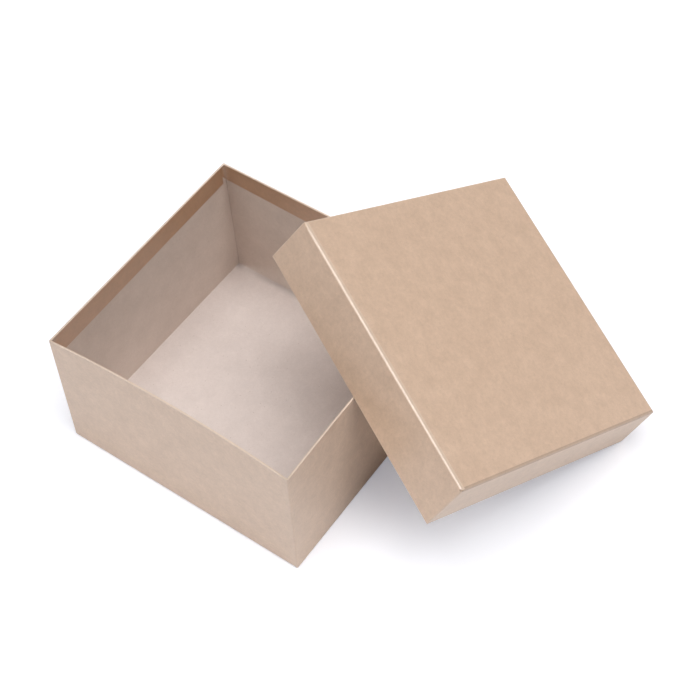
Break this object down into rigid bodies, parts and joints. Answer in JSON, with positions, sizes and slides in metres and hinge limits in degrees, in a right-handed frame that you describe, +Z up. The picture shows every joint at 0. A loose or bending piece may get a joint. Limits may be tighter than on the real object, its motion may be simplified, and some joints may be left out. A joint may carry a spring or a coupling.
{
  "type": "open cardboard box",
  "caption": "Rigid cardboard gift box wrapped in plain brown kraft paper, open, with its lift-off lid leaning over a corner of the base and its tip on the table.",
  "frame": {"origin": "centre of the underside of the base, on the surface that it stands on", "axes": "+Z up, +X along the long side of the base towards the side the lid leans over, +Y to the back"},
  "size_m": [0.3135, 0.275, 0.1623],
  "materials": {
    "grey_board": "matt bare grey chipboard with short fibres and flecks",
    "kraft_wrap": "matt to slightly silky brown kraft paper with fine fibre mottling",
    "stay_paper": "gummed paper tape, hidden under the wrap"
  },
  "bodies": {
    "root": {"base_board": "grey_board", "base_wrap": "kraft_wrap", "base_corner_stay_front_left": "stay_paper", "base_corner_stay_back_left": "stay_paper", "base_corner_stay_front_right": "stay_paper", "base_corner_stay_back_right": "stay_paper", "lid_board": "grey_board", "lid_wrap": "kraft_wrap", "lid_corner_stay_front_left": "stay_paper", "lid_corner_stay_back_left": "stay_paper", "lid_corner_stay_front_right": "stay_paper", "lid_corner_stay_back_right": "stay_paper"}
  },
  "joints": []
}
